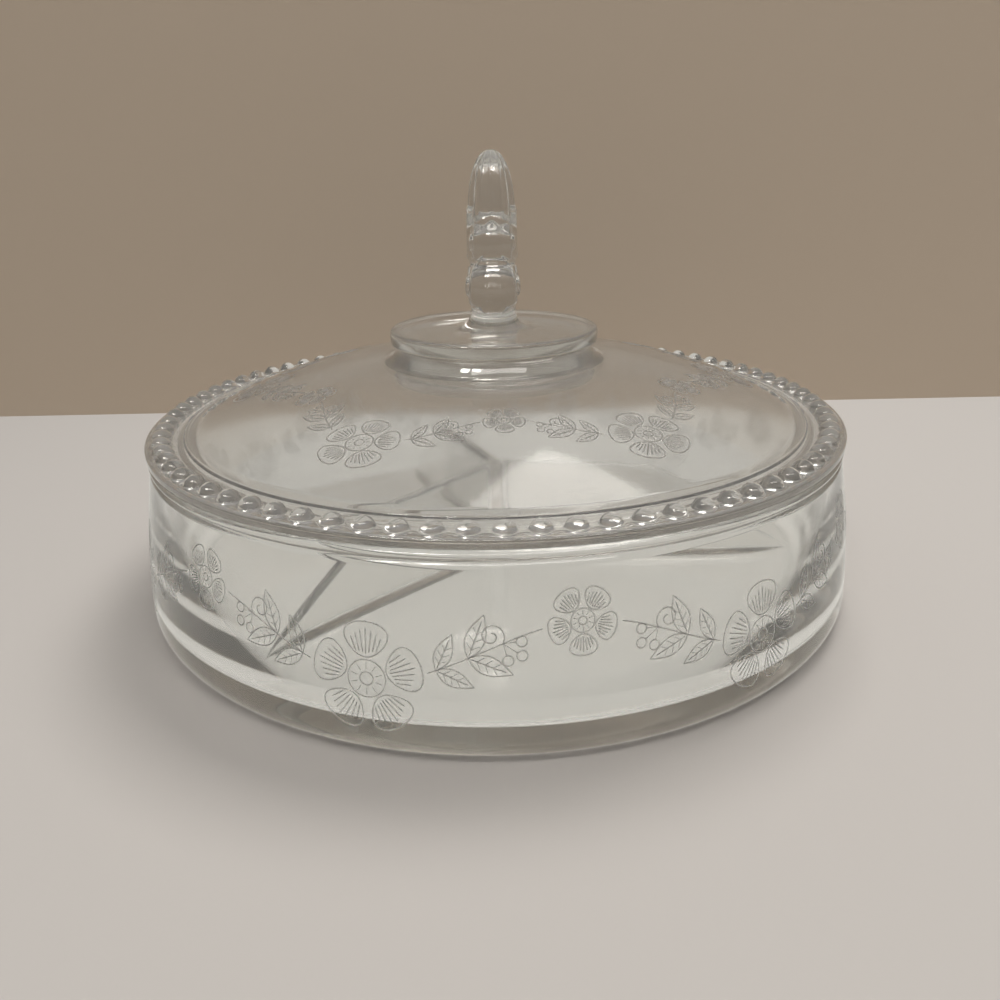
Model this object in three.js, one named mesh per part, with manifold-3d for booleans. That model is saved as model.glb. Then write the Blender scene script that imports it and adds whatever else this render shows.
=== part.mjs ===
// A round covered glass dish with three compartments and a lift-off domed lid.
// Millimetres, +Z up, origin at the middle of the dish's underside. -Y is the front.

import * as THREE from 'three';
import { mergeVertices } from 'three/addons/utils/BufferGeometryUtils.js';
import Module from 'manifold-3d';

// Dish bowl
const bowlRadius = 101.6;
const bowlHeight = 48.2;
const bowlCornerRadius = 7;
const wallLean = 5.1;
const wallLeanPower = 1.6;
const rimThickness = 3.2;
const innerDraft = 0.3;
const floorThickness = 6;
const innerCornerRadius = 3;
const rimRounding = 1.5;

// Dividers pressed in one with the bowl
const dividerCount = 3;
const dividerAngle = -129;
const dividerTopThickness = 3.4;
const dividerRootThickness = 5;
const dividerDrop = 13.2;
const dividerEndRun = 44;
const dividerEndHeight = 1;

// Lid flange, with the ring under it that drops inside the bowl's mouth
const seatGap = 0.3;
const flangeOverhang = 1.2;
const flangeThickness = 2.5;
const flangeEdgeRounding = 0.8;
const ringClearance = 1.2;
const ringWidth = 3.6;
const ringDepth = 3.5;

// Beads round the flange
const beadPitch = 7.24;
const beadInset = 4.3;
const beadLength = 5;
const beadWidth = 5.6;
const beadHeight = 2.3;
const beadSink = 0.6;
const beadFirstAngle = -89.15;

// Lid dome and collar
const ledgeWidth = 11.4;
const ridgeHeight = 0.4;
const ridgeWidth = 1.4;
const domeRise = 14.9;
const domePower = 1.8;
const lidThickness = 4;
const collarRadius = 28.2;
const collarFlare = 3.8;
const collarHeight = 4.2;

// Finial: foot disc, stem, two pairs of volutes and a plume
const fusedGap = 0.3;
const discOverhang = 1.35;
const discThickness = 4.2;
const discEdgeRounding = 1.7;
const stemFootRadius = 9.6;
const stemRadius = 6;
const stemHeight = 5;
const lowerVoluteRadius = 7;
const lowerVoluteThickness = 15;
const lowerVoluteRounding = 6;
const lowerVoluteReach = 11.5;
const upperVoluteRadius = 5;
const upperVoluteThickness = 12.5;
const upperVoluteRounding = 4;
const upperVoluteReach = 9.5;
const plumeHeight = 23;
const plumeSwellHeight = 7;
const plumeWidth = 22;
const plumeThickness = 12.5;

// Facets
const turnSegments = 72;
const curveSteps = 5;
const arcSteps = 3;
const beadSides = 8;
const beadRings = 2;
const finialSides = 16;

// Glass colour
const glassColour = 0xe6e8e4;
const glassRoughness = 0.05;
const glassOpacity = 0.4;

// Places worked out from the sizes above
const rimRadius = bowlRadius - wallLean;
const mouthRadius = rimRadius - rimThickness;
const flangeRadius = rimRadius + flangeOverhang;
const ringOuterRadius = mouthRadius - ringClearance;
const ringInnerRadius = ringOuterRadius - ringWidth;
const domeFootRadius = flangeRadius - ledgeWidth;
const collarFootRadius = collarRadius + collarFlare;
const domeFootHeight = flangeThickness + ridgeHeight;
const domeTopHeight = domeFootHeight + domeRise;
const collarTopHeight = domeTopHeight + collarHeight;

const wasm = await Module();
wasm.setup();

function point(radius, height) {
  return new THREE.Vector2(radius, height);
}

// Points on an arc of an (outwards, upwards) profile, angles in degrees
function arc(centreRadius, centreHeight, radius, fromDegrees, toDegrees) {
  const points = [];
  for (let step = 0; step <= arcSteps; step += 1) {
    const degrees = fromDegrees + ((toDegrees - fromDegrees) * step) / arcSteps;
    const angle = THREE.MathUtils.degToRad(degrees);
    points.push(point(centreRadius + radius * Math.cos(angle), centreHeight + radius * Math.sin(angle)));
  }
  return points;
}

// A solid of revolution about Z from a profile that starts and ends on the axis, bottom first
function turned(profile, segments) {
  return new THREE.LatheGeometry(profile, segments).rotateX(Math.PI / 2);
}

// Shared vertices are merged, and the triangles that fold up on the axis are dropped
function toSolid(geometry) {
  const bare = geometry.clone();
  bare.deleteAttribute('normal');
  bare.deleteAttribute('uv');
  const merged = mergeVertices(bare);
  const corners = merged.index.array;
  const triangles = [];
  for (let first = 0; first < corners.length; first += 3) {
    const [a, b, c] = corners.slice(first, first + 3);
    if (a !== b && b !== c && c !== a) {
      triangles.push(a, b, c);
    }
  }
  const mesh = new wasm.Mesh({
    numProp: 3,
    vertProperties: merged.attributes.position.array,
    triVerts: new Uint32Array(triangles),
  });
  return new wasm.Manifold(mesh);
}

function toGeometry(solid) {
  const mesh = solid.getMesh();
  const geometry = new THREE.BufferGeometry();
  geometry.setAttribute('position', new THREE.BufferAttribute(mesh.vertProperties, 3));
  geometry.setIndex(new THREE.BufferAttribute(mesh.triVerts, 1));
  geometry.computeVertexNormals();
  return geometry;
}

function joined(geometries) {
  return geometries.map(toSolid).reduce((whole, next) => whole.add(next));
}

function glassMesh(name, solid) {
  const material = new THREE.MeshStandardMaterial({
    color: glassColour,
    roughness: glassRoughness,
    metalness: 0,
    transparent: true,
    opacity: glassOpacity,
  });
  const mesh = new THREE.Mesh(toGeometry(solid), material);
  mesh.name = name;
  return mesh;
}

// Outer radius of the bowl's wall: widest above the corner, leaning in towards the rim
function wallRadius(height) {
  const share = (height - bowlCornerRadius) / (bowlHeight - bowlCornerRadius);
  return bowlRadius - wallLean * Math.pow(Math.max(share, 0), wallLeanPower);
}

// Inner radius of the bowl's wall: straight, with the draft that lets a plunger out
function innerRadius(height) {
  return mouthRadius - (innerDraft * (bowlHeight - height)) / (bowlHeight - floorThickness);
}

function wallPoints(fromHeight, toHeight) {
  const points = [];
  for (let step = 0; step <= curveSteps; step += 1) {
    const height = fromHeight + ((toHeight - fromHeight) * step) / curveSteps;
    points.push(point(wallRadius(height), height));
  }
  return points;
}

function bowlGeometry() {
  const wallTop = bowlHeight - rimRounding;
  const innerFoot = floorThickness + innerCornerRadius;
  const innerCentre = innerRadius(innerFoot) - innerCornerRadius;
  const profile = [
    point(0, 0),
    ...arc(bowlRadius - bowlCornerRadius, bowlCornerRadius, bowlCornerRadius, -90, 0),
    ...wallPoints(bowlCornerRadius, wallTop).slice(1, -1),
    ...arc(wallRadius(wallTop) - rimRounding, wallTop, rimRounding, 0, 90),
    ...arc(innerRadius(wallTop) + rimRounding, wallTop, rimRounding, 90, 180),
    ...arc(innerCentre, innerFoot, innerCornerRadius, 0, -90),
    point(0, floorThickness),
  ];
  return turned(profile, turnSegments);
}

// The room that trims the dividers' outer ends: a cone that slopes down to the foot of the bowl's wall
function dividerLimitGeometry() {
  const root = floorThickness / 2;
  const foot = floorThickness + dividerEndHeight;
  const ridge = bowlHeight - dividerDrop;
  const above = dividerTopThickness;
  const wallFoot = innerRadius(foot);
  const slope = dividerEndRun / (ridge - foot);
  const profile = [
    point(0, root),
    point(wallFoot, root),
    point(wallFoot, foot),
    point(wallFoot - slope * (ridge + above - foot), ridge + above),
    point(0, ridge + above),
  ];
  return turned(profile, turnSegments);
}

// One upright wall from the axis outwards, thicker at its root and round along its top edge
function dividerGeometry(degrees) {
  const root = floorThickness / 2;
  const shoulder = bowlHeight - dividerDrop - dividerTopThickness / 2;
  const section = new THREE.Shape();
  section.moveTo(-dividerRootThickness / 2, root);
  section.lineTo(dividerRootThickness / 2, root);
  section.lineTo(dividerTopThickness / 2, shoulder);
  section.absarc(0, shoulder, dividerTopThickness / 2, 0, Math.PI);
  const wall = new THREE.ExtrudeGeometry(section, {
    depth: bowlRadius,
    bevelEnabled: false,
    curveSegments: arcSteps,
  });
  wall.rotateX(Math.PI / 2);
  wall.rotateZ(THREE.MathUtils.degToRad(degrees + 90));
  return wall;
}

function dishSolid() {
  const dividers = [];
  for (let index = 0; index < dividerCount; index += 1) {
    dividers.push(dividerGeometry(dividerAngle + (360 * index) / dividerCount));
  }
  const trimmed = joined(dividers).intersect(toSolid(dividerLimitGeometry()));
  return toSolid(bowlGeometry()).add(trimmed);
}

// Height of the dome's outer surface above the lid's seat
function domeHeight(radius) {
  const share = (radius - collarFootRadius) / (domeFootRadius - collarFootRadius);
  return domeFootHeight + domeRise * (1 - Math.pow(THREE.MathUtils.clamp(share, 0, 1), domePower));
}

// Points across the dome from one radius to another, at a set depth under its outer surface
function domePoints(fromRadius, toRadius, depth) {
  const points = [];
  for (let step = 0; step <= curveSteps; step += 1) {
    const radius = fromRadius + ((toRadius - fromRadius) * step) / curveSteps;
    points.push(point(radius, domeHeight(radius) - depth));
  }
  return points;
}

// The collar swells out of the dome in a quarter of an ellipse and closes under the finial's disc
function collarPoints() {
  const points = [];
  for (let step = 1; step <= curveSteps; step += 1) {
    const angle = ((Math.PI / 2) * step) / curveSteps;
    const radius = collarRadius + collarFlare * Math.cos(angle);
    points.push(point(radius, domeTopHeight + collarHeight * Math.sin(angle)));
  }
  return points;
}

function coverGeometry() {
  const edge = flangeEdgeRounding;
  const profile = [
    point(0, domeTopHeight - lidThickness),
    ...domePoints(collarFootRadius, ringInnerRadius, lidThickness),
    point(ringInnerRadius, -ringDepth),
    point(ringOuterRadius, -ringDepth),
    point(ringOuterRadius, 0),
    ...arc(flangeRadius - edge, edge, edge, -90, 0),
    ...arc(flangeRadius - edge, flangeThickness - edge, edge, 0, 90),
    point(domeFootRadius + ridgeWidth, flangeThickness),
    ...domePoints(domeFootRadius, collarFootRadius, 0),
    ...collarPoints(),
    point(0, collarTopHeight),
  ];
  return turned(profile, turnSegments);
}

// A rounded bead that stands on the flange with its foot sunk into the glass
function beadGeometry(degrees) {
  const profile = [point(0, -beadSink), point(1, -beadSink)];
  for (let ring = 0; ring < beadRings; ring += 1) {
    const angle = ((Math.PI / 2) * ring) / beadRings;
    profile.push(point(Math.cos(angle), beadHeight * Math.sin(angle)));
  }
  profile.push(point(0, beadHeight));
  const bead = turned(profile, beadSides);
  bead.scale(beadWidth / 2, beadLength / 2, 1);
  bead.translate(flangeRadius - beadInset, 0, flangeThickness);
  bead.rotateZ(THREE.MathUtils.degToRad(degrees));
  return bead;
}

function lidSolid() {
  const beadCount = Math.round((2 * Math.PI * (flangeRadius - beadInset)) / beadPitch);
  const pieces = [coverGeometry()];
  for (let index = 0; index < beadCount; index += 1) {
    pieces.push(beadGeometry(beadFirstAngle + (360 * index) / beadCount));
  }
  return joined(pieces);
}

function discGeometry() {
  const discRadius = collarRadius + discOverhang;
  const edge = discEdgeRounding;
  const profile = [
    point(0, 0),
    ...arc(discRadius - edge, edge, edge, -90, 0),
    ...arc(discRadius - edge, discThickness - edge, edge, 0, 90),
    point(0, discThickness),
  ];
  return turned(profile, turnSegments);
}

// The stem flares onto the disc and runs up between the volutes into the plume
function stemGeometry(topHeight) {
  const flare = new THREE.Path();
  flare.moveTo(stemFootRadius, discThickness);
  flare.quadraticCurveTo(stemRadius, discThickness, stemRadius, discThickness + stemHeight);
  const profile = [
    point(0, discThickness / 2),
    point(stemFootRadius, discThickness / 2),
    ...flare.getPoints(arcSteps),
    point(stemRadius, topHeight),
    point(0, topHeight),
  ];
  return turned(profile, finialSides);
}

// A volute is a rounded disc that faces sideways, along X
function voluteGeometry(radius, thickness, edge, reach, height) {
  const half = thickness / 2;
  const profile = [
    point(0, -half),
    ...arc(radius - edge, edge - half, edge, -90, 0),
    ...arc(radius - edge, half - edge, edge, 0, 90),
    point(0, half),
  ];
  const volute = turned(profile, finialSides);
  volute.rotateY(Math.PI / 2);
  volute.translate(0, reach, height);
  return volute;
}

// A leaf, broad across Y and thin across X, that swells from the stem and closes in a half ellipse
function plumeGeometry(footHeight) {
  const half = plumeWidth / 2;
  const outline = new THREE.Path();
  outline.moveTo(stemRadius, 0);
  outline.quadraticCurveTo(half, 0, half, plumeSwellHeight);
  outline.absellipse(0, plumeSwellHeight, half, plumeHeight - plumeSwellHeight, 0, Math.PI / 2);
  const sides = outline.getPoints(arcSteps).slice(0, -1);
  const profile = [point(0, 0), ...sides, point(0, plumeHeight)];
  const plume = turned(profile, finialSides);
  plume.scale(plumeThickness / plumeWidth, 1, 1);
  plume.translate(0, 0, footHeight);
  return plume;
}

function finialSolid() {
  const lowerHeight = discThickness + stemHeight + lowerVoluteRadius;
  const upperHeight = lowerHeight + lowerVoluteRadius + upperVoluteRadius;
  const lowerVolute = [lowerVoluteRadius, lowerVoluteThickness, lowerVoluteRounding];
  const upperVolute = [upperVoluteRadius, upperVoluteThickness, upperVoluteRounding];
  const pieces = [discGeometry(), stemGeometry(upperHeight + upperVoluteRadius), plumeGeometry(upperHeight)];
  for (const side of [-1, 1]) {
    pieces.push(voluteGeometry(...lowerVolute, side * lowerVoluteReach, lowerHeight));
    pieces.push(voluteGeometry(...upperVolute, side * upperVoluteReach, upperHeight));
  }
  return joined(pieces);
}

const dish = glassMesh('dish', dishSolid());
const lid = glassMesh('lid', lidSolid());
const finial = glassMesh('finial', finialSolid());
finial.position.z = collarTopHeight + fusedGap;

const cover = new THREE.Group();
cover.position.z = bowlHeight + seatGap;
cover.add(lid, finial);

const coveredDish = new THREE.Group();
coveredDish.add(dish, cover);

export default coveredDish;
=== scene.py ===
import math

import bmesh
import bpy
import numpy as np
from mathutils import Matrix, Vector


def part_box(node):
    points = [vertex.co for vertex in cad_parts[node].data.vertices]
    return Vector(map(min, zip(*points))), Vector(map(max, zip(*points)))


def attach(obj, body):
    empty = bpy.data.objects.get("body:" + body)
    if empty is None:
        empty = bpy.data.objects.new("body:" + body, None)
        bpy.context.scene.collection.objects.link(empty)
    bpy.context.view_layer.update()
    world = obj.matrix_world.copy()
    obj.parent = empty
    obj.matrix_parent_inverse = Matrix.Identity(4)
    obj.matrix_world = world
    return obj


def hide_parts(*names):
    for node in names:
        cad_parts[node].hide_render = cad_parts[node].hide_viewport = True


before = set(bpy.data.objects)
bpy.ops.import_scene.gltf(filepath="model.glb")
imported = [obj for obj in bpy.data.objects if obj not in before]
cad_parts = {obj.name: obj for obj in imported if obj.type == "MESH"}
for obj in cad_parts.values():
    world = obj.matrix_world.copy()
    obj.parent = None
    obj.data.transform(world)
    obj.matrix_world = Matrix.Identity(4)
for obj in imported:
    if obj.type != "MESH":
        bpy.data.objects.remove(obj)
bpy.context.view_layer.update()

# Meshes are worked out in millimetres, in the frame's axes, and stored in metres
MM = 0.001

# Sizes read from the frame
dish_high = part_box("dish")[1] / MM
lid_low, lid_high = (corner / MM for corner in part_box("lid"))
finial_low, finial_high = (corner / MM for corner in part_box("finial"))
BOWL_RADIUS = dish_high.x
BOWL_HEIGHT = dish_high.z
FLANGE_RADIUS = lid_high.x
DISC_RADIUS = finial_high.x
DISC_BOTTOM = finial_low.z

# Bowl
CORNER_RADIUS = 7.0
WALL_LEAN = 5.1
WALL_LEAN_POWER = 1.6
RIM_THICKNESS = 3.2
RIM_ROUNDING = 1.6
LIP = 0.6
LIP_HEIGHT = 2.8
LIP_END = -70
INNER_DRAFT = 0.3
INNER_SWELL = 2.4
FLOOR_THICKNESS = 6.0
FLOOR_FILLET = 3.0
RIM_RADIUS = BOWL_RADIUS - WALL_LEAN
MOUTH_RADIUS = RIM_RADIUS - RIM_THICKNESS

# Dividers
DIVIDERS = 3
DIVIDER_ANGLE = math.radians(-129)
DIVIDER_TOP_HALF = 1.7
DIVIDER_ROOT_HALF = 2.5
DIVIDER_DROP = 13.2
DIVIDER_LEVEL = 49.0
DIVIDER_SLOPE = 0.68
DIVIDER_BEND = 5.0
DIVIDER_END = 4.0
DIVIDER_TAPER = 9.0
DIVIDER_FILLET = 1.8
HUB_FILLET = 8.0
HUB_REACH = 12.0
POCKET_ANGLE = 2 * math.pi / DIVIDERS

# Lid
RING_DEPTH = 3.5
RING_CLEARANCE = 1.2
RING_WIDTH = 3.6
RING_ROUNDING = 1.2
FLANGE_THICKNESS = 2.5
FLANGE_ROUNDING = 0.8
LEDGE_WIDTH = 11.4
RIDGE_HEIGHT = 0.4
RIDGE_RADIUS = 0.7
RIDGE_LIFT = 0.1
RIDGE_END = 150
RIDGE_RUN = 1.25
RING_JOIN = 0.35
SEAT_FILLET = 0.6
DOME_RISE = 14.9
DOME_POWER = 1.8
LID_THICKNESS = 4.0
COLLAR_RADIUS = 27.2
COLLAR_FLARE = 2.5
COLLAR_BULGE = 0.15
SEAT = lid_low.z + RING_DEPTH
RING_OUTER = MOUTH_RADIUS - RING_CLEARANCE
RING_INNER = RING_OUTER - RING_WIDTH
DOME_FOOT = FLANGE_RADIUS - LEDGE_WIDTH
COLLAR_FOOT = COLLAR_RADIUS + COLLAR_FLARE
FLANGE_TOP = SEAT + FLANGE_THICKNESS
DOME_TOP = FLANGE_TOP + RIDGE_HEIGHT + DOME_RISE

# Beads
BEADS = 81
BEAD_FIRST = math.radians(-89.15)
BEAD_CIRCLE = FLANGE_RADIUS - 4.3
BEAD_HALF_LENGTH = 2.6
BEAD_HALF_WIDTH = 2.8
BEAD_HEIGHT = 2.3
BEAD_BAND_HALF = 3.3
BEAD_POINTEDNESS = 1.7
BEAD_FULLNESS = 0.55
BEAD_FOOT = ((1.14, 0.0), (1.09, 0.012), (1.05, 0.04), (1.015, 0.085))
BEAD_RINGS = (0.985, 0.94, 0.86, 0.74, 0.58, 0.4, 0.2)

# Finial, with heights above the top of its disc
GROOVE_DEPTH = 0.5
GROOVE_HEIGHT = 0.9
DISC_THICKNESS = 4.2
DISC_ROUNDING = 1.0
DISC_TOP = DISC_BOTTOM + DISC_THICKNESS
DISC_INNER_RING = 13.0
STEM_RADIUS = 6.3
STEM_FLARE = 4.0
STEM_FLARE_HEIGHT = 5.0
LOWER_VOLUTE = {"radius": 7.0, "half": 7.4, "edge": 6.2, "reach": 11.5, "height": 12.4, "pitch": 3.2}
UPPER_VOLUTE = {"radius": 5.9, "half": 6.3, "edge": 5.6, "reach": 9.0, "height": 23.4, "pitch": 2.6}
SPIRAL_DEPTH = 0.8
PLUME_FOOT = 19.5
PLUME_SWELL = 31.0
PLUME_TOP = finial_high.z - DISC_TOP
PLUME_HALF_WIDTH = 11.0
PLUME_HALF_DEPTH = 6.6
PLUME_CLOSING = 0.44
PLUME_FLUTES = 8
FLUTE_DEPTH = 0.15
BLEND = 2.6
NET_STEP = 0.48
NET_MARGIN = 2.0
NET_ROUNDS = 3

# Facets
ARC_STEPS = 120
RADIAL_STEPS = ARC_STEPS // 2
BEAD_EDGE_STEPS = 6
CROWN_STEPS = 8
SIDE_STEPS = 7
FOOT_STEPS = 10
FLOOR_SHARES = (0.08, 0.2, 0.4, 0.6, 0.8, 0.92, 1.0)
INNER_WALL_ROWS = 14
OUTER_WALL_ROWS = 34
FILLET_STEPS = 12
RIM_STEPS = 9
LIP_STEPS = 16
CORNER_STEPS = 14
UNDERSIDE_SHARES = (0.97, 0.85, 0.6, 0.3, 0)
DOME_ROWS = 26
DOME_UNDER_ROWS = 18
DOME_MIDDLE_RADII = (6.0, 14.0, 22.0)
COLLAR_ROWS = 8
SEAT_STEPS = 4
EDGE_STEPS = 5
DISC_EDGE_STEPS = 6
RIDGE_STEPS = 8
DISC_SHARES = (0.9, 0.7)


def arc(centre_r, centre_z, radius, start, end, steps):
    """Points on an arc of an (r, z) profile, angles in degrees."""
    turn = np.radians(np.linspace(start, end, steps + 1))
    return [(centre_r + radius * math.cos(a), centre_z + radius * math.sin(a)) for a in turn]


class Shell:
    """Points in millimetres and the faces that join them, made into one closed mesh."""

    def __init__(self):
        self.points = []
        self.faces = []
        self.size = 0

    def add(self, points):
        first = self.size
        block = np.asarray(points, float).reshape(-1, 3)
        self.points.append(block)
        self.size += len(block)
        return first

    def loft(self, loops, closed=True):
        """Joins rows of equal length in order, and gives where each starts."""
        starts = [self.add(loop) for loop in loops]
        count = len(loops[0])
        for low, high in zip(starts, starts[1:]):
            for i in range(count if closed else count - 1):
                j = (i + 1) % count
                self.faces.append((low + i, low + j, high + j, high + i))
        return starts

    def fan(self, start, count, tip):
        centre = self.add([tip])
        for i in range(count):
            self.faces.append((start + i, start + (i + 1) % count, centre))

    def turned(self, profile, angles):
        """Rings about Z for an (r, z) profile. An end on the axis closes in a fan."""
        ring = np.stack([np.cos(angles), np.sin(angles)], -1)
        loops = [np.column_stack([ring * r, np.full(len(ring), z)]) for r, z in profile if r > 0]
        starts = self.loft(loops)
        for (r, z), start in ((profile[0], starts[0]), (profile[-1], starts[-1])):
            if r == 0:
                self.fan(start, len(ring), (0, 0, z))

    def mesh(self, name, weld):
        mesh = bpy.data.meshes.new(name)
        mesh.from_pydata(np.concatenate(self.points) * MM, [], self.faces)
        work = bmesh.new()
        work.from_mesh(mesh)
        bmesh.ops.remove_doubles(work, verts=work.verts, dist=weld * MM)
        bmesh.ops.recalc_face_normals(work, faces=work.faces)
        work.to_mesh(mesh)
        work.free()
        mesh.shade_smooth()
        return mesh


def new_object(name, mesh, material):
    piece = bpy.data.objects.new(name, mesh)
    bpy.context.scene.collection.objects.link(piece)
    mesh.materials.append(material)
    return piece


# The dish


def wall_radius(z):
    """Outer radius of the bowl's wall above its corner."""
    share = np.clip((z - CORNER_RADIUS) / (BOWL_HEIGHT - CORNER_RADIUS), 0, 1)
    return BOWL_RADIUS - WALL_LEAN * share ** WALL_LEAN_POWER


def inner_radius(z):
    """Inner radius of the bowl, which swells between the mouth and the floor as the outside does."""
    share = (BOWL_HEIGHT - z) / (BOWL_HEIGHT - FLOOR_THICKNESS)
    return MOUTH_RADIUS - INNER_DRAFT * share + INNER_SWELL * 4 * share * (1 - share)


DIVIDER_TOP = BOWL_HEIGHT - DIVIDER_DROP
FLOOR_EDGE = inner_radius(FLOOR_THICKNESS + FLOOR_FILLET) - FLOOR_FILLET


def divider_top(along):
    """Height of a divider's ridge: level from the hub, then sloping down to the foot of the wall."""
    past = along - DIVIDER_LEVEL
    slope = DIVIDER_TOP - DIVIDER_SLOPE * (past + np.hypot(past, DIVIDER_BEND)) / 2
    end = np.clip((along - FLOOR_EDGE) / DIVIDER_END + 1, 0, 1)
    return FLOOR_THICKNESS + (slope - FLOOR_THICKNESS) * np.sqrt(1 - end ** 2)


def divider_rows(along):
    """Rows of (height, distance from the middle plane, hub corner) from the ridge to the floor."""
    top = divider_top(along)
    size = np.clip((top - FLOOR_THICKNESS) / DIVIDER_TAPER, 0, 1)
    crown = DIVIDER_TOP_HALF * size
    fillet = DIVIDER_FILLET * size
    shoulder = top - crown
    foot = FLOOR_THICKNESS + fillet
    draft = (DIVIDER_ROOT_HALF - DIVIDER_TOP_HALF) / (DIVIDER_TOP - FLOOR_THICKNESS)
    root = crown + draft * (shoulder - foot)
    rows = [(top, crown * 0, 0.0)]
    for angle in np.radians(np.linspace(90, 0, CROWN_STEPS + 1))[1:]:
        spread = math.cos(angle)
        rows.append((shoulder + crown * math.sin(angle), crown * spread, HUB_FILLET * spread))
    for share in np.linspace(0, 1, SIDE_STEPS + 1)[1:]:
        rows.append((shoulder + (foot - shoulder) * share, crown + (root - crown) * share, HUB_FILLET))
    for angle in np.radians(np.linspace(0, 90, FOOT_STEPS + 1))[1:]:
        rows.append((foot - fillet * math.sin(angle), root + fillet * (1 - math.cos(angle)), HUB_FILLET))
    return rows


def beside_divider(along, off, corner):
    """Plan points off a divider's middle plane, meeting the pocket's middle line in a round corner."""
    lean = POCKET_ANGLE / 2
    bend = corner * (math.pi / 2 - lean)
    tangent = (off + corner) / math.tan(lean)
    run = np.minimum(along / HUB_REACH, 1) * (bend + HUB_REACH - tangent)
    turn = math.pi - np.minimum(run, bend) / max(corner, 1e-9)
    centre = (off + corner) / math.sin(lean)
    straight = np.where(along < HUB_REACH, tangent + run - bend, along)
    x = straight * math.cos(lean) + off * math.sin(lean)
    y = straight * math.sin(lean) - off * math.cos(lean)
    round_part = run < bend
    x = np.where(round_part, centre + corner * np.cos(turn), x)
    y = np.where(round_part, corner * np.sin(turn), y)
    return x, y


def pocket_rows():
    """Open rows of one compartment, with its middle along +X, from the ridges over the floor."""
    along = FLOOR_EDGE * (1 - np.cos(np.pi * np.arange(RADIAL_STEPS + 1) / RADIAL_STEPS)) / 2
    rows = []
    for z, off, corner in divider_rows(along):
        x, y = beside_divider(along, off, corner)
        half = np.column_stack([x, y, z])
        half[0, 1] = 0
        mirrored = half[:0:-1] * np.array([1, -1, 1])
        rows.append(np.concatenate([mirrored, half]))
    turn = np.linspace(-POCKET_ANGLE / 2, POCKET_ANGLE / 2, ARC_STEPS + 1)
    edge = np.column_stack([np.cos(turn), np.sin(turn), turn * 0]) * FLOOR_EDGE
    edge[:, 2] = FLOOR_THICKNESS
    foot = rows[-1]
    return rows + [foot + (edge - foot) * share for share in FLOOR_SHARES]


def bowl_profile():
    """From the floor's edge up the inside, over the rim, down the outside and under to the axis."""
    wall_top = BOWL_HEIGHT - RIM_ROUNDING
    wall_foot = FLOOR_THICKNESS + FLOOR_FILLET
    lip_foot = BOWL_HEIGHT - LIP_HEIGHT
    lip = np.radians(np.linspace(90, LIP_END, LIP_STEPS + 1))
    inner = [(inner_radius(z), z) for z in np.linspace(wall_foot, wall_top, INNER_WALL_ROWS)[1:-1]]
    outer_rows = np.linspace(lip_foot, CORNER_RADIUS, OUTER_WALL_ROWS)[:-1]
    outer = [(float(wall_radius(z)), z) for z in outer_rows]
    inner_rim = inner_radius(wall_top) + RIM_ROUNDING
    outer_rim = float(wall_radius(wall_top)) - RIM_ROUNDING
    foot = BOWL_RADIUS - CORNER_RADIUS
    return [
        *arc(FLOOR_EDGE, wall_foot, FLOOR_FILLET, -90, 0, FILLET_STEPS),
        *inner,
        *arc(inner_rim, wall_top, RIM_ROUNDING, 180, 90, RIM_STEPS),
        *[(outer_rim + (RIM_ROUNDING + LIP) * math.cos(a), BOWL_HEIGHT - LIP_HEIGHT / 2 * (1 - math.sin(a)))
          for a in lip],
        *outer,
        *arc(foot, CORNER_RADIUS, CORNER_RADIUS, 0, -90, CORNER_STEPS),
        *[(foot * share, 0.0) for share in UNDERSIDE_SHARES],
    ]


def dish_shell():
    shell = Shell()
    rows = pocket_rows()
    for index in range(DIVIDERS):
        turn = DIVIDER_ANGLE + POCKET_ANGLE * (index + 0.5)
        spin = np.array(Matrix.Rotation(turn, 3, "Z")).T
        shell.loft([row @ spin for row in rows], closed=False)
    angles = DIVIDER_ANGLE + 2 * math.pi * np.arange(DIVIDERS * ARC_STEPS) / (DIVIDERS * ARC_STEPS)
    shell.turned(bowl_profile(), angles)
    return shell


# The lid


def dome_height(r):
    share = np.clip((r - COLLAR_FOOT) / (DOME_FOOT - COLLAR_FOOT), 0, 1)
    return FLANGE_TOP + RIDGE_HEIGHT + DOME_RISE * (1 - share ** DOME_POWER)


def lid_under_profile():
    """From the axis under the dome, round the locating ring, out to the bead band's outer edge."""
    ring_bottom = SEAT - RING_DEPTH
    ring = RING_ROUNDING
    edge = FLANGE_ROUNDING
    inner_top = float(dome_height(RING_INNER)) - LID_THICKNESS
    dome = np.linspace(COLLAR_FOOT, RING_INNER - ring, DOME_UNDER_ROWS)
    return [
        (0, DOME_TOP - LID_THICKNESS),
        *[(r, DOME_TOP - LID_THICKNESS) for r in DOME_MIDDLE_RADII],
        *[(r, float(dome_height(r)) - LID_THICKNESS) for r in dome],
        (RING_INNER - RING_JOIN, inner_top - RING_JOIN),
        (RING_INNER, inner_top - ring),
        *arc(RING_INNER + ring, ring_bottom + ring, ring, 180, 270, EDGE_STEPS),
        *arc(RING_OUTER - ring, ring_bottom + ring, ring, 270, 360, EDGE_STEPS),
        *arc(RING_OUTER + SEAT_FILLET, SEAT - SEAT_FILLET, SEAT_FILLET, 180, 90, SEAT_STEPS),
        ((RING_OUTER + FLANGE_RADIUS) / 2, SEAT),
        *arc(FLANGE_RADIUS - edge, SEAT + edge, edge, -90, 0, EDGE_STEPS),
        *arc(FLANGE_RADIUS - edge, FLANGE_TOP - edge, edge, 0, 90, EDGE_STEPS),
        (BEAD_CIRCLE + BEAD_BAND_HALF, FLANGE_TOP),
    ]


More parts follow.
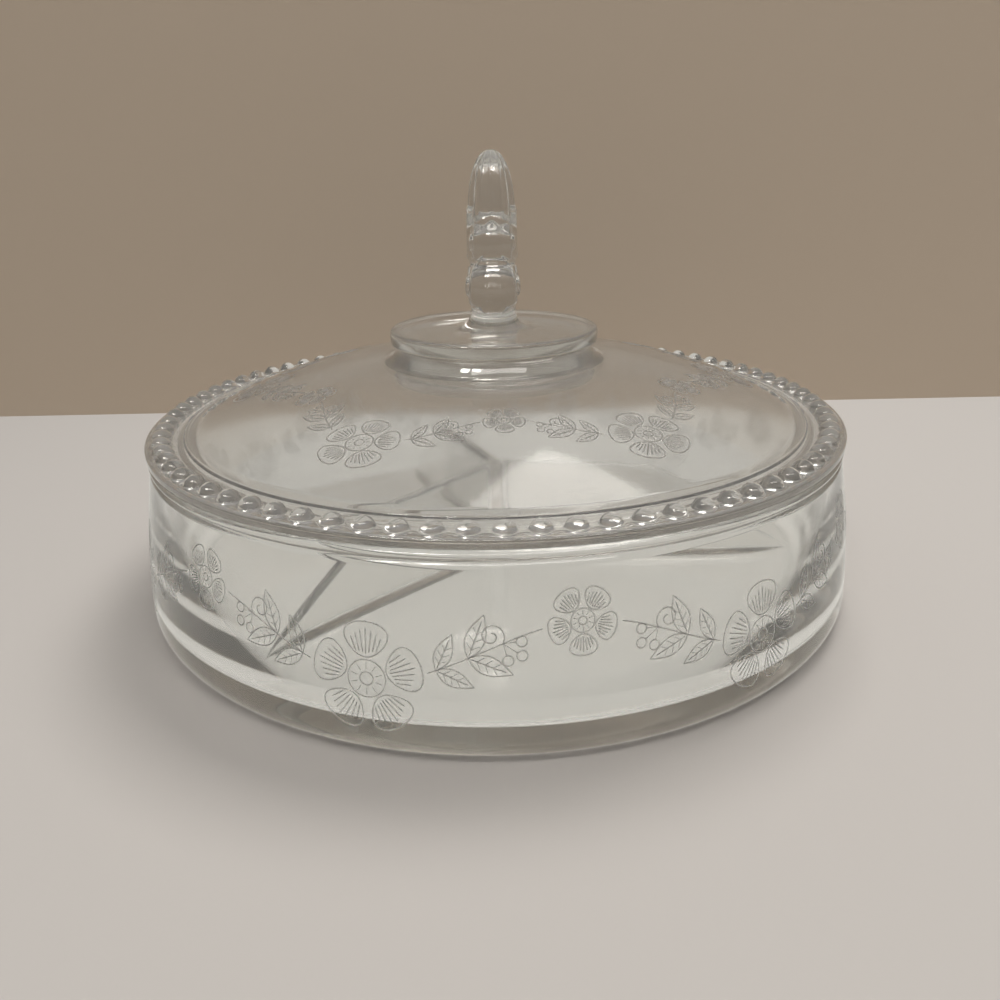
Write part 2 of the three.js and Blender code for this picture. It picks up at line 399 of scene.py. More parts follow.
def lid_top_profile():
    """From the bead band's inner edge over the ridge, dome, collar and disc to the finial's foot."""
    band = BEAD_CIRCLE - BEAD_BAND_HALF
    ridge = DOME_FOOT + RIDGE_RADIUS
    collar_height = DISC_BOTTOM - GROOVE_HEIGHT - DOME_TOP
    slope = math.atan2(COLLAR_FLARE, collar_height)
    low_edge = DISC_BOTTOM + DISC_ROUNDING
    high_edge = DISC_TOP - DISC_ROUNDING
    return [
        (band, FLANGE_TOP),
        ((band + ridge) / 2 + RIDGE_RADIUS, FLANGE_TOP),
        (ridge + RIDGE_RADIUS * RIDGE_RUN, FLANGE_TOP),
        *arc(ridge, FLANGE_TOP + RIDGE_LIFT, RIDGE_RADIUS, 0, RIDGE_END, RIDGE_STEPS),
        *[(r, float(dome_height(r))) for r in np.linspace(DOME_FOOT, COLLAR_FOOT, DOME_ROWS)[1:-1]],
        *[(COLLAR_FOOT - COLLAR_FLARE * s + COLLAR_BULGE * 4 * s * (1 - s) * math.cos(slope),
           DOME_TOP + collar_height * s + COLLAR_BULGE * 4 * s * (1 - s) * math.sin(slope))
          for s in np.linspace(0, 1, COLLAR_ROWS)],
        (COLLAR_RADIUS - GROOVE_DEPTH, DISC_BOTTOM - GROOVE_HEIGHT / 2),
        (COLLAR_RADIUS - GROOVE_DEPTH, DISC_BOTTOM),
        *arc(DISC_RADIUS - DISC_ROUNDING, low_edge, DISC_ROUNDING, -90, 0, DISC_EDGE_STEPS),
        *arc(DISC_RADIUS - DISC_ROUNDING, high_edge, DISC_ROUNDING, 0, 90, DISC_EDGE_STEPS),
        *[(DISC_RADIUS * share, DISC_TOP) for share in DISC_SHARES],
        (DISC_INNER_RING, DISC_TOP),
    ]


def bead_cell_edge():
    """One bead's share of the band as (along, outwards) shares of its half sizes, anticlockwise."""
    run = np.linspace(-1, 1, BEAD_EDGE_STEPS + 1)[:-1]
    ones = np.ones(BEAD_EDGE_STEPS)
    along = np.concatenate([run, ones, -run, -ones])
    outwards = np.concatenate([-ones, run, ones, -run])
    return along, outwards


def add_beads(shell):
    """Each bead rises from its share of the band, on rings that go from a square to an ellipse."""
    along, outwards = bead_cell_edge()
    half_pitch = math.pi / BEADS
    across = along * half_pitch * BEAD_CIRCLE
    outward = outwards * BEAD_BAND_HALF
    reach = np.abs(across / BEAD_HALF_LENGTH) ** BEAD_POINTEDNESS
    reach += np.abs(outward / BEAD_HALF_WIDTH) ** BEAD_POINTEDNESS
    spread = reach ** (1 / BEAD_POINTEDNESS)
    oval_across = across / spread
    oval_outward = outward / spread
    rings = [(None, 0.0), *BEAD_FOOT]
    for share in BEAD_RINGS:
        rings.append((share, (1 - share ** 2) ** BEAD_FULLNESS))
    for index in range(BEADS):
        turn = BEAD_FIRST + 2 * half_pitch * index
        loops = []
        for share, height in rings:
            x = across if share is None else oval_across * share
            y = outward if share is None else oval_outward * share
            angle = turn + x / BEAD_CIRCLE
            r = BEAD_CIRCLE + y
            z = np.full(len(x), FLANGE_TOP + BEAD_HEIGHT * height)
            loops.append(np.column_stack([r * np.cos(angle), r * np.sin(angle), z]))
        starts = shell.loft(loops)
        tip = (BEAD_CIRCLE * math.cos(turn), BEAD_CIRCLE * math.sin(turn), FLANGE_TOP + BEAD_HEIGHT)
        shell.fan(starts[-1], len(across), tip)


# The finial, as a distance field that is negative inside the glass


def smooth_union(a, b, reach):
    share = np.clip(0.5 + 0.5 * (b - a) / reach, 0, 1)
    return b + (a - b) * share - reach * share * (1 - share)


def stem_distance(x, y, z):
    drop = np.clip(1 - z / STEM_FLARE_HEIGHT, 0, 1)
    radius = STEM_RADIUS + STEM_FLARE * (1 - np.sqrt(1 - drop ** 2))
    body = np.hypot(x, y) - radius
    return np.maximum(body, z - PLUME_SWELL)


def volute_distance(x, y, z, radius, half, edge, reach, height, pitch):
    """A pair of rounded discs that face along X, with a spiral groove in each face."""
    across = np.abs(y) - reach
    upward = z - height
    distance = np.hypot(across, upward)
    wind = np.arctan2(upward, across) / (2 * math.pi)
    groove = 0.5 + 0.5 * np.cos(2 * math.pi * (distance / pitch - wind))
    fade = np.clip((distance - 0.25 * pitch) / pitch, 0, 1)
    face = half - SPIRAL_DEPTH * groove * fade
    side = np.maximum(distance - radius + edge, 0)
    front = np.maximum(np.abs(x) - face + edge, 0)
    inner = np.minimum(np.maximum(distance - radius + edge, np.abs(x) - face + edge), 0)
    return np.hypot(side, front) + inner - edge


def plume_distance(x, y, z):
    """A fluted bud, broad across Y, that swells from the stem and closes in a half ellipse."""
    low = np.clip((z - PLUME_FOOT) / (PLUME_SWELL - PLUME_FOOT), 0, 1)
    high = np.clip((z - PLUME_SWELL) / (PLUME_TOP - PLUME_SWELL), 0, 1)
    close = np.maximum(1 - high ** 2, 1e-4) ** PLUME_CLOSING
    width = (STEM_RADIUS + (PLUME_HALF_WIDTH - STEM_RADIUS) * np.sin(low * math.pi / 2)) * close
    depth = PLUME_HALF_DEPTH * close
    turn = np.arctan2(x, y)
    flute = 1 - FLUTE_DEPTH * low * (1 - np.abs(np.sin(turn * PLUME_FLUTES / 2)))
    body = (np.hypot(x / depth, y / width) - flute) * PLUME_HALF_DEPTH * (0.3 + 0.7 * close)
    return np.maximum(np.maximum(body, PLUME_FOOT - z), z - PLUME_TOP)


def finial_distance(points):
    x, y, z = points[..., 0], points[..., 1], points[..., 2]
    whole = smooth_union(stem_distance(x, y, z), plume_distance(x, y, z), BLEND)
    for volute in (LOWER_VOLUTE, UPPER_VOLUTE):
        whole = smooth_union(whole, volute_distance(x, y, z, **volute), BLEND)
    return whole


def surface_net(distance, low, high, step):
    """Points and quads on the zero surface of a distance field inside a box."""
    counts = [int(math.ceil((b - a) / step)) + 1 for a, b in zip(low, high)]
    axes = [a + step * np.arange(n) for a, n in zip(low, counts)]
    grid = np.stack(np.meshgrid(*axes, indexing="ij"), -1)
    field = distance(grid)
    cells = tuple(n - 1 for n in counts)
    total = np.zeros(cells + (3,))
    hits = np.zeros(cells)
    corners = [(i, j, k) for i in (0, 1) for j in (0, 1) for k in (0, 1)]

    def corner(values, offset):
        return values[tuple(slice(o, o + c) for o, c in zip(offset, cells))]

    for start in corners:
        for axis in range(3):
            if start[axis]:
                continue
            end = tuple(1 if a == axis else s for a, s in enumerate(start))
            first, last = corner(field, start), corner(field, end)
            crossed = (first < 0) != (last < 0)
            share = np.where(crossed, first / np.where(crossed, first - last, 1), 0)
            spot = corner(grid, start) + share[..., None] * (corner(grid, end) - corner(grid, start))
            total += np.where(crossed[..., None], spot, 0)
            hits += crossed
    used = hits > 0
    number = np.full(cells, -1)
    number[used] = np.arange(used.sum())
    points = total[used] / hits[used][:, None]
    quads = []
    for axis in range(3):
        u, v = (axis + 1) % 3, (axis + 2) % 3
        inner = [slice(1, n - 1) for n in counts]
        inner[axis] = slice(0, counts[axis] - 1)
        after = list(inner)
        after[axis] = slice(1, counts[axis])
        first, last = field[tuple(inner)] < 0, field[tuple(after)] < 0
        spots = np.argwhere(first != last)
        spots[:, u] += 1
        spots[:, v] += 1
        around = []
        for du, dv in ((0, 0), (1, 0), (1, 1), (0, 1)):
            cell = spots.copy()
            cell[:, u] -= du
            cell[:, v] -= dv
            around.append(number[tuple(cell.T)])
        quads.append(np.stack(around, -1))
    return points, np.concatenate(quads)


def settle(points, distance, rounds):
    """Moves points onto the zero surface along its slope."""
    reach = 0.02
    flattest = 0.05
    for _ in range(rounds):
        slope = np.stack(
            [(distance(points + step) - distance(points - step)) / (2 * reach)
             for step in np.eye(3) * reach], -1)
        size = np.maximum((slope ** 2).sum(-1), flattest)
        points = points - np.clip(distance(points) / size, -NET_STEP, NET_STEP)[:, None] * slope
    return points


def finial_parts():
    """The handle above the disc: points, faces and the loop of points round its foot."""
    reach = LOWER_VOLUTE["reach"] + LOWER_VOLUTE["radius"] + NET_MARGIN
    half = LOWER_VOLUTE["half"] + STEM_FLARE + NET_MARGIN
    low = (-half, -reach, -NET_MARGIN)
    high = (half, reach, PLUME_TOP + NET_MARGIN / 2)
    points, quads = surface_net(finial_distance, low, high, NET_STEP)
    points = settle(points, finial_distance, NET_ROUNDS)
    mesh = bpy.data.meshes.new("handle")
    mesh.from_pydata(points, [], quads.tolist())
    work = bmesh.new()
    work.from_mesh(mesh)
    every = work.verts[:] + work.edges[:] + work.faces[:]
    bmesh.ops.bisect_plane(
        work, geom=every, dist=1e-4, plane_co=(0, 0, 0), plane_no=(0, 0, 1), clear_inner=True)
    work.verts.index_update()
    spots = np.array([v.co[:] for v in work.verts])
    faces = [[v.index for v in face.verts] for face in work.faces]
    foot = [v.index for v in work.verts if v.is_boundary]
    work.free()
    bpy.data.meshes.remove(mesh)
    foot.sort(key=lambda i: math.atan2(spots[i, 1], spots[i, 0]))
    return spots + np.array([0, 0, DISC_TOP]), faces, foot


def add_finial(shell, angles):
    """The handle, and the flat of the disc between its foot and the disc's inner ring."""
    spots, faces, foot = finial_parts()
    first = shell.add(spots)
    shell.faces += [tuple(first + i for i in face) for face in faces]
    ring = np.column_stack([DISC_INNER_RING * np.cos(angles), DISC_INNER_RING * np.sin(angles),
                            np.full(len(angles), DISC_TOP)])
    outer_first = shell.add(ring)
    order = np.argsort(np.arctan2(ring[:, 1], ring[:, 0]))
    outer = [outer_first + int(i) for i in order]
    inner = [first + i for i in foot]
    turn_outer = np.sort(np.arctan2(ring[:, 1], ring[:, 0]))
    turn_inner = np.arctan2(spots[foot, 1], spots[foot, 0])
    i = j = 0
    while i < len(outer) or j < len(inner):
        next_outer = turn_outer[i] if i < len(outer) else math.inf
        next_inner = turn_inner[j] if j < len(inner) else math.inf
        if next_outer <= next_inner:
            shell.faces.append((outer[i - 1], outer[i % len(outer)], inner[j - 1]))
            i += 1
        else:
            shell.faces.append((outer[i - 1], inner[j % len(inner)], inner[j - 1]))
            j += 1


def lid_shell():
    shell = Shell()
    steps = BEADS * BEAD_EDGE_STEPS
    angles = BEAD_FIRST - math.pi / BEADS + 2 * math.pi * np.arange(steps) / steps
    shell.turned(lid_under_profile(), angles)
    add_beads(shell)
    shell.turned(lid_top_profile(), angles)
    add_finial(shell, angles)
    return shell


# The etched garlands, drawn as strokes in a plane and laid on the glass as thin bands


PETAL_VEINS = 7
PETAL_VEIN_SPREAD = 0.36
LEAF_VEINS = (0.2, 0.38, 0.56)
GARLAND_LEAVES = (0.08, 0.36)
GARLAND_TWIG = 0.66
BLOSSOM_ROOM = 0.53
LEAF_SIZE = 0.85
LEAF_GROWTH = 0.2
LEAF_SLIMNESS = 0.21
LEAF_LEAN = 0.8
CURL_SIZE = 0.3
CURL_TURNS = 1.35
CURL_LEAN = 0.6
BERRY_SIZE = 0.12
BERRY_LEAN = 1.0


def turned_by(points, angle):
    c, s = math.cos(angle), math.sin(angle)
    return points @ np.array([[c, s], [-s, c]])


def circle(radius, steps):
    turn = np.linspace(0, 2 * math.pi, steps + 1)
    return np.column_stack([np.cos(turn), np.sin(turn)]) * radius


def petal(size):
    """A broad petal along +X with fine veins."""
    turn = np.linspace(0, 2 * math.pi, 25)
    along = 0.5 - 0.5 * np.cos(turn)
    across = np.sin(turn) * (0.55 + 0.45 * along) * 0.25
    strokes = [np.column_stack([0.19 + 0.31 * along, across * 0.98]) * size]
    for lean in np.linspace(-PETAL_VEIN_SPREAD, PETAL_VEIN_SPREAD, PETAL_VEINS):
        inward = abs(lean) / PETAL_VEIN_SPREAD
        reach = np.linspace(0.22 + 0.04 * inward, 0.45 - 0.06 * inward, 5) * size
        strokes.append(np.column_stack([reach * math.cos(lean), reach * math.sin(lean)]))
    return strokes


def blossom(size, petals=5):
    """Broad petals round a ring, with short stamens inside it."""
    strokes = [circle(0.17 * size, 22), circle(0.06 * size, 12)]
    for index in range(petals):
        strokes += [turned_by(stroke, 2 * math.pi * index / petals) for stroke in petal(size)]
    for index in range(2 * petals):
        reach = np.array([[0.085, 0], [0.145, 0]]) * size
        strokes.append(turned_by(reach, math.pi * index / petals))
    return strokes


def leaf(length, half):
    """A laurel leaf along +X with its midrib and side veins."""
    share = np.linspace(0, 1, 9)
    bulge = half * np.sin(math.pi * share ** 0.85)
    upper = np.column_stack([share * length, bulge])
    lower = np.column_stack([share * length, -bulge])[::-1]
    rib = np.column_stack([np.linspace(0.05, 0.85, 5) * length, np.zeros(5)])
    strokes = [np.concatenate([upper, lower[1:]]), rib]
    for at in LEAF_VEINS:
        reach = half * math.sin(math.pi * (at + 0.12) ** 0.85) * 0.75
        for side in (-1, 1):
            strokes.append(np.array([[at * length, 0], [(at + 0.12) * length, side * reach]]))
    return strokes


def curl(radius, turns):
    """A tendril that leaves the origin along +X and winds up."""
    wind = np.linspace(0, 1, int(16 * turns))
    turn = 2 * math.pi * turns * wind - math.pi / 2
    reach = radius * (1 - 0.8 * wind)
    spiral = np.column_stack([reach * np.cos(turn), reach * np.sin(turn) + radius])
    return [spiral]


def berries(radius):
    strokes = []
    for lean in (-0.7, 0.0, 0.7):
        reach = radius * (4.2 if lean == 0 else 3.4)
        tip = np.array([reach * math.cos(lean), reach * math.sin(lean)])
        strokes.append(np.array([[0, 0], tip * (1 - radius / reach)]))
        strokes.append(circle(radius, 10) + tip)
    return strokes


def put(strokes, place, angle):
    return [turned_by(stroke, angle) + np.asarray(place) for stroke in strokes]


def garland(length, swing, blossom_size, bud_size, leaf_length):
    """One repeat of the garland, from 0 to length, winding about y = 0 and mirrored about its bud."""

    def height(at):
        return -swing * np.cos(2 * math.pi * at / length)

    def slope(at):
        return math.atan(swing * 2 * math.pi / length * math.sin(2 * math.pi * at / length))

    run = np.linspace(0, length / 2, 60)
    clear = np.hypot(run, height(run) + swing) > blossom_size * BLOSSOM_ROOM
    clear &= np.hypot(run - length / 2, height(run) - swing) > bud_size * BLOSSOM_ROOM
    stem = run[clear]
    half = [np.column_stack([stem, height(stem)])]
    for share in GARLAND_LEAVES:
        at = stem[0] + share * (stem[-1] - stem[0])
        for side in (-1, 1):
            size = leaf_length * (LEAF_SIZE + LEAF_GROWTH * math.sin(math.pi * share))
            half += put(leaf(size, size * LEAF_SLIMNESS), (at, height(at)), slope(at) + side * LEAF_LEAN)
    twig = stem[0] + GARLAND_TWIG * (stem[-1] - stem[0])
    half += put(curl(leaf_length * CURL_SIZE, CURL_TURNS), (twig, height(twig)), slope(twig) + CURL_LEAN)
    half += put(berries(leaf_length * BERRY_SIZE), (twig, height(twig)), slope(twig) - BERRY_LEAN)
    strokes = put(blossom(blossom_size), (0, -swing), math.pi / 2)
    strokes += put(blossom(bud_size), (length / 2, swing), -math.pi / 2)
    mirror = np.array([-1, 1])
    return strokes + half + [stroke * mirror + np.array([length, 0]) for stroke in half]


def add_band(shell, path, lay, width, lift):
    """A closed band along a path, laid on the glass by lay(points, height)."""
    closed = np.allclose(path[0], path[-1])
    spots = path[:-1] if closed else path
    if closed:
        run = np.roll(spots, -1, 0) - np.roll(spots, 1, 0)
    else:
        run = np.gradient(spots, axis=0)
    run /= np.linalg.norm(run, axis=1)[:, None]
    side = np.column_stack([-run[:, 1], run[:, 0]]) * width / 2
    taper = np.ones(len(spots))
    if not closed:
        taper[0] = taper[-1] = ETCH_TAPER
    side *= taper[:, None]
    high = lift + ETCH_THICKNESS
    corners = [lay(spots + side, lift), lay(spots - side, lift)]
    corners += [lay(spots - side, high), lay(spots + side, high)]
    starts = [shell.add(corner) for corner in corners]
    count = len(spots)
    for i in range(count if closed else count - 1):
        j = (i + 1) % count
        for a, b in zip(starts, starts[1:] + starts[:1]):
            shell.faces.append((a + i, b + i, b + j, a + j))
    if not closed:
        shell.faces.append(tuple(start for start in starts))
        shell.faces.append(tuple(start + count - 1 for start in reversed(starts)))


ETCH_WIDTH = 0.34
ETCH_THICKNESS = 0.03
ETCH_LIFT = 0.015
ETCH_LIFT_STEP = 0.004
ETCH_LIFT_STEPS = 7
ETCH_TAPER = 0.45
BOWL_REPEATS = 7
BOWL_GARLAND_HEIGHT = 26.5
BOWL_GARLAND_START = math.radians(-106)
BOWL_GARLAND = {"swing": 6.5, "blossom_size": 25.0, "bud_size": 15.0, "leaf_length": 9.5}
LID_REPEATS = 6
LID_GARLAND_RADIUS = 61.0
LID_GARLAND_START = math.radians(-118)
LID_GARLAND = {"swing": 6.0, "blossom_size": 18.0, "bud_size": 11.0, "leaf_length": 7.0}


def lay_on_bowl(points, lift):
    """Unrolled millimetres round the wall, and height about the garland's middle."""
    z = BOWL_GARLAND_HEIGHT + points[:, 1]
    angle = BOWL_GARLAND_START + points[:, 0] / BOWL_RADIUS
    r = wall_radius(z) + lift
    return np.column_stack([r * np.cos(angle), r * np.sin(angle), z])


def lay_on_lid(points, lift):
    """Millimetres round the garland's circle, and inwards from it."""
    r = LID_GARLAND_RADIUS - points[:, 1]
    angle = LID_GARLAND_START + points[:, 0] / LID_GARLAND_RADIUS
    reach = 0.05
    slope = (dome_height(r + reach) - dome_height(r - reach)) / (2 * reach)
    size = np.sqrt(1 + slope ** 2)
    out = r - lift * slope / size
    z = dome_height(r) + lift / size
    return np.column_stack([out * np.cos(angle), out * np.sin(angle), z])


def etching_shell(lay, repeats, around, strokes):
    shell = Shell()
    step = around / repeats
    for index in range(repeats):
        for number, stroke in enumerate(strokes):
            lift = ETCH_LIFT + ETCH_LIFT_STEP * (number % ETCH_LIFT_STEPS)
            add_band(shell, stroke + np.array([index * step, 0]), lay, ETCH_WIDTH, lift)
    return shell


def bowl_etching():
    around = 2 * math.pi * BOWL_RADIUS
    strokes = garland(around / BOWL_REPEATS, **BOWL_GARLAND)
    return etching_shell(lay_on_bowl, BOWL_REPEATS, around, strokes)


def lid_etching():
    around = 2 * math.pi * LID_GARLAND_RADIUS
    strokes = garland(around / LID_REPEATS, **LID_GARLAND)
    return etching_shell(lay_on_lid, LID_REPEATS, around, strokes)


# Materials

GLASS_INDEX = 1.51
GLASS_ROUGHNESS = 0.06
RIPPLE_SCALE = 45.0
RIPPLE_STRENGTH = 0.1
RIPPLE_HEIGHT = 0.0002
DEPTH_COLOUR = (0.64, 0.62, 0.57)
DEPTH_DENSITY = 10.0
GRAIN_SCALE = 2500.0
GRAIN_SMOOTHEST = 0.2
GRAIN_ROUGHEST = 0.4
MATT = 0.9
MATT_SPECULAR = 0.2
DISH_CLEARNESS = 0.97
LID_CLEARNESS = 0.925
PALE_CLEARNESS = 0.85
GREY_CLEARNESS = 0.7
DISH_TINT = (1.0, 1.0, 0.99)
# The lid's glass is tinted darker grey than the dish's. This is a painted shade for the shadowed floor seen
# through the lid, not a colour of the glass.
LID_PAINTED_SHADE_TINT = (0.83, 0.825, 0.81)
PALE_FROST = (0.97, 0.96, 0.94)
# The lid's frost is the bowl's pale frost painted darker grey, a painted shade that makes its lines fall
# darker on the dome.
LID_FROST_PAINTED_SHADE = (0.72, 0.7, 0.67)
GLASS_VIEW_SHARE = 0.66
GLASS_VIEW = (0.785, 0.77, 0.715)


def principled(name):
    material = bpy.data.materials.new(name)
    material.use_nodes = True
    return material, material.node_tree.nodes, material.node_tree.links


def clear_glass(name, tint_and_shade, clearness):
    """Glass with a faint ripple and a little colour in its depth. Its base colour is the glass's own tint
    on the dish, and on the lid a darker grey that is a painted shade over what is seen through the lid.
    """
    material, nodes, links = principled(name)
    shader = nodes["Principled BSDF"]
    shader.inputs["Base Color"].default_value = (*tint_and_shade, 1)
    shader.inputs["Roughness"].default_value = GLASS_ROUGHNESS
    shader.inputs["IOR"].default_value = GLASS_INDEX
    shader.inputs["Transmission Weight"].default_value = clearness
    place = nodes.new("ShaderNodeTexCoord")
    ripple = nodes.new("ShaderNodeTexNoise")
    ripple.inputs["Scale"].default_value = RIPPLE_SCALE
    ripple.inputs["Detail"].default_value = 1.0
    bump = nodes.new("ShaderNodeBump")
    bump.inputs["Strength"].default_value = RIPPLE_STRENGTH
    bump.inputs["Distance"].default_value = RIPPLE_HEIGHT
    depth = nodes.new("ShaderNodeVolumeAbsorption")
    depth.inputs["Color"].default_value = (*DEPTH_COLOUR, 1)
    depth.inputs["Density"].default_value = DEPTH_DENSITY
    links.new(place.outputs["Object"], ripple.inputs["Vector"])
    links.new(ripple.outputs["Fac"], bump.inputs["Height"])
    links.new(bump.outputs["Normal"], shader.inputs["Normal"])
    links.new(depth.outputs["Volume"], nodes["Material Output"].inputs["Volume"])
    return material


def etched_glass(name, colour, clearness):
    """Frosted glass, with a fine grain in how far it scatters."""
    material, nodes, links = principled(name)
    shader = nodes["Principled BSDF"]
    shader.inputs["Base Color"].default_value = (*colour, 1)
    shader.inputs["IOR"].default_value = GLASS_INDEX
    shader.inputs["Transmission Weight"].default_value = clearness
    place = nodes.new("ShaderNodeTexCoord")
    grain = nodes.new("ShaderNodeTexNoise")
    grain.inputs["Scale"].default_value = GRAIN_SCALE
    span = nodes.new("ShaderNodeMapRange")
    span.inputs["To Min"].default_value = GRAIN_SMOOTHEST
    span.inputs["To Max"].default_value = GRAIN_ROUGHEST
    links.new(place.outputs["Object"], grain.inputs["Vector"])
    links.new(grain.outputs["Fac"], span.inputs["Value"])
    links.new(span.outputs["Result"], shader.inputs["Roughness"])
    return material


def plain(name, colour):
    """A matt surface for the stage."""
    material, nodes, _ = principled(name)
    shader = nodes["Principled BSDF"]
    shader.inputs["Base Color"].default_value = (*colour, 1)
    shader.inputs["Roughness"].default_value = MATT
    shader.inputs["Specular IOR Level"].default_value = MATT_SPECULAR
    return material


def shown_in_glass(material, colour):
    """Rays that come through or off glass see the surface at its full colour, beside its shadows."""
    nodes, links = material.node_tree.nodes, material.node_tree.links
    ray = nodes.new("ShaderNodeLightPath")
    either = nodes.new("ShaderNodeMath")
    either.operation = "MAXIMUM"
    share = nodes.new("ShaderNodeMath")
    share.operation = "MULTIPLY"
    share.inputs[1].default_value = GLASS_VIEW_SHARE
    glow = nodes.new("ShaderNodeEmission")
    glow.inputs["Color"].default_value = (*colour, 1)
    mix = nodes.new("ShaderNodeMixShader")
    links.new(ray.outputs["Is Transmission Ray"], either.inputs[0])
    links.new(ray.outputs["Is Glossy Ray"], either.inputs[1])
    links.new(either.outputs["Value"], share.inputs[0])
    links.new(share.outputs["Value"], mix.inputs["Fac"])
    links.new(nodes["Principled BSDF"].outputs["BSDF"], mix.inputs[1])
    links.new(glow.outputs["Emission"], mix.inputs[2])
    links.new(mix.outputs["Shader"], nodes["Material Output"].inputs["Surface"])
    return material


def one_sided(material):
    """The backdrop shows only from the front, so that views from behind see the object."""
    nodes, links = material.node_tree.nodes, material.node_tree.links
    side = nodes.new("ShaderNodeNewGeometry")
    clear = nodes.new("ShaderNodeBsdfTransparent")
    mix = nodes.new("ShaderNodeMixShader")
    links.new(side.outputs["Backfacing"], mix.inputs["Fac"])
    links.new(nodes["Principled BSDF"].outputs["BSDF"], mix.inputs[1])
    links.new(clear.outputs["BSDF"], mix.inputs[2])
    links.new(mix.outputs["Shader"], nodes["Material Output"].inputs["Surface"])
    return material


# Stage, light and camera


def panel(name, corners, material):
    mesh = bpy.data.meshes.new(name)
    mesh.from_pydata(corners, [], [(0, 1, 2, 3)])
    piece = new_object(name, mesh, material)
    return piece


ROOM_LOW = (0.12, 0.115, 0.108)
ROOM_HIGH = (0.37, 0.36, 0.35)
CLOTH = (0.62, 0.59, 0.562)
TAUPE = (0.58, 0.485, 0.385)
FLOOR_DROP = 0.1 * MM
WALL_Y = 0.19
STAGE_REACH = 2.5
WALL_HEIGHT = 0.24
HIGH_WALL_TOP = 1.5


def build_stage():
    """The floor and the wall behind it, whose upper part isn't seen in or through glass."""
    reach = STAGE_REACH
    z = -FLOOR_DROP
    floor = [(-reach, -reach, z), (reach, -reach, z), (reach, reach, z), (-reach, reach, z)]
    panel("floor", floor, shown_in_glass(plain("pale_cloth", CLOTH), GLASS_VIEW))
    taupe = one_sided(plain("taupe_wall", TAUPE))
    parts = (("backdrop", z, WALL_HEIGHT), ("backdrop_high", WALL_HEIGHT, HIGH_WALL_TOP))
    for name, low, high in parts:
        wall = [(-reach, WALL_Y, low), (reach, WALL_Y, low), (reach, WALL_Y, high), (-reach, WALL_Y, high)]
        backdrop = panel(name, wall, taupe)
        backdrop.visible_shadow = False
        backdrop.visible_diffuse = False
        backdrop.visible_glossy = low < WALL_HEIGHT
        backdrop.visible_transmission = low < WALL_HEIGHT


def area_light(name, place, target, size, power):
    data = bpy.data.lights.new(name, "AREA")
    data.shape = "RECTANGLE"
    data.size, data.size_y = size
    data.energy = power
    data.color = WARM
    lamp = bpy.data.objects.new(name, data)
    lamp.location = place
    lamp.rotation_euler = (Vector(target) - Vector(place)).to_track_quat("-Z", "Y").to_euler()
    bpy.context.scene.collection.objects.link(lamp)
    return lamp


WARM = (1.0, 0.97, 0.93)
ROOM_HIGH_FROM = 0.8
CEILING_LAMP = {"place": (0.06, -0.6, 1.0), "target": (0, -0.05, 0.05), "size": (1.0, 0.2), "power": 3.85}
BACK_LAMP = {"place": (0.22, 0.3, 0.95), "target": (0, 0, 0), "size": (0.5, 0.4), "power": 4.6}
SMALL_LAMP = {"target": (0, 0, 0.05), "size": (0.16, 0.16), "power": 2.4}
SMALL_LAMP_PLACES = ((-0.5, -0.5, 1.0), (-0.3, -0.55, 1.05))


def build_light():
    """A room that is brighter overhead, two soft ceiling lamps, and two small ones seen only in gloss."""
    world = bpy.data.worlds.new("room")
    bpy.context.scene.world = world
    world.use_nodes = True
    nodes, links = world.node_tree.nodes, world.node_tree.links
    place = nodes.new("ShaderNodeTexCoord")
    split = nodes.new("ShaderNodeSeparateXYZ")
    ramp = nodes.new("ShaderNodeValToRGB")
    ramp.color_ramp.elements[0].color = (*ROOM_LOW, 1)
    ramp.color_ramp.elements[1].color = (*ROOM_HIGH, 1)
    ramp.color_ramp.elements[1].position = ROOM_HIGH_FROM
    links.new(place.outputs["Generated"], split.inputs["Vector"])
    links.new(split.outputs["Z"], ramp.inputs["Fac"])
    links.new(ramp.outputs["Color"], nodes["Background"].inputs["Color"])
    area_light("ceiling_lamp", **CEILING_LAMP)
    back = area_light("ceiling_back", **BACK_LAMP)
    back.visible_glossy = False
    for number, spot in enumerate(SMALL_LAMP_PLACES):
        lamp = area_light(f"small_lamp_{number}", spot, **SMALL_LAMP)
        lamp.visible_diffuse = False


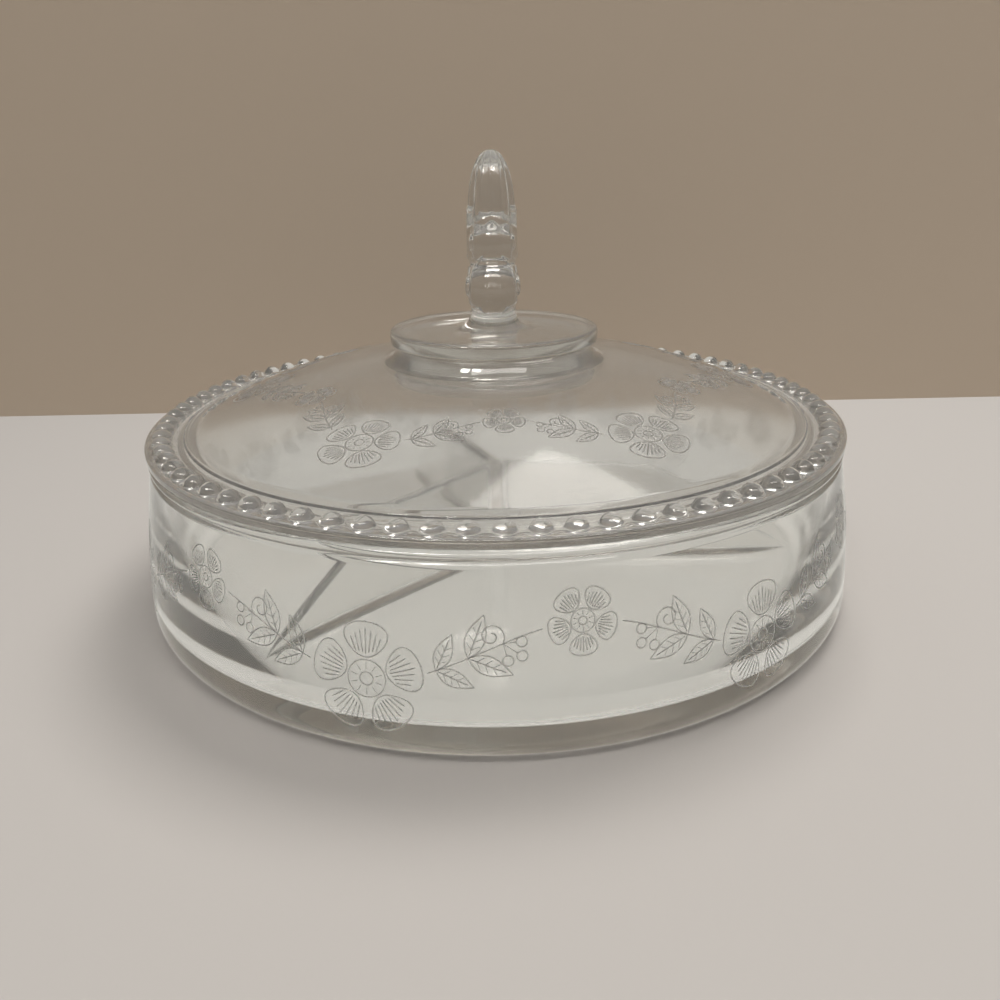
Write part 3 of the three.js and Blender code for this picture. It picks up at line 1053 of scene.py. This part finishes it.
CAMERA_PLACE = (0.0, -0.2556, 0.1201)
CAMERA_PITCH = math.radians(21.09)
CAMERA_YAW = math.radians(0.19)
CAMERA_ROLL = math.radians(-1.10)
SENSOR = 36.0
FOCAL_SHARE = 0.890


def build_camera():
    data = bpy.data.cameras.new("camera")
    data.sensor_width = SENSOR
    data.lens = SENSOR * FOCAL_SHARE
    data.clip_start = 0.01
    ahead = Vector((math.sin(CAMERA_YAW) * math.cos(CAMERA_PITCH),
                    math.cos(CAMERA_YAW) * math.cos(CAMERA_PITCH), -math.sin(CAMERA_PITCH)))
    right = Vector((math.cos(CAMERA_YAW), -math.sin(CAMERA_YAW), 0))
    up = right.cross(ahead)
    rolled_right = right * math.cos(CAMERA_ROLL) + up * math.sin(CAMERA_ROLL)
    rolled_up = up * math.cos(CAMERA_ROLL) - right * math.sin(CAMERA_ROLL)
    turn = Matrix((rolled_right, rolled_up, -ahead)).transposed().to_4x4()
    camera = bpy.data.objects.new("camera", data)
    camera.matrix_world = Matrix.Translation(CAMERA_PLACE) @ turn
    bpy.context.scene.collection.objects.link(camera)
    bpy.context.scene.camera = camera


WELD = 0.002
ETCH_WELD = WELD / 10
BOUNCES = 64

build_camera()
build_stage()
build_light()

dish_material = clear_glass("clear_glass", DISH_TINT, DISH_CLEARNESS)
dish = new_object("dish_glass", dish_shell().mesh("dish_glass", WELD), dish_material)
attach(dish, "dish")
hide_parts("dish")

# The lid's glass is a darker copy of the dish's glass, a painted shade over what is seen through it.
lid_material = clear_glass("lid_glass_painted_shade", LID_PAINTED_SHADE_TINT, LID_CLEARNESS)
lid = new_object("lid_glass", lid_shell().mesh("lid_glass", WELD), lid_material)
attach(lid, "lid")
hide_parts("lid", "finial")

pale_frost = etched_glass("pale_frost", PALE_FROST, PALE_CLEARNESS)
# The lid's etching uses a darker grey copy of the frost, a painted shade.
lid_frost_shaded = etched_glass("lid_frost_shaded", LID_FROST_PAINTED_SHADE, GREY_CLEARNESS)
for name, shell, body, frost in (("dish_etching", bowl_etching(), "dish", pale_frost),
                                 ("lid_etching", lid_etching(), "lid", lid_frost_shaded)):
    etching = new_object(name, shell.mesh(name, ETCH_WELD), frost)
    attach(etching, body)

scene = bpy.context.scene
scene.view_settings.view_transform = "Standard"
scene.cycles.max_bounces = BOUNCES
scene.cycles.transmission_bounces = BOUNCES
scene.cycles.glossy_bounces = BOUNCES
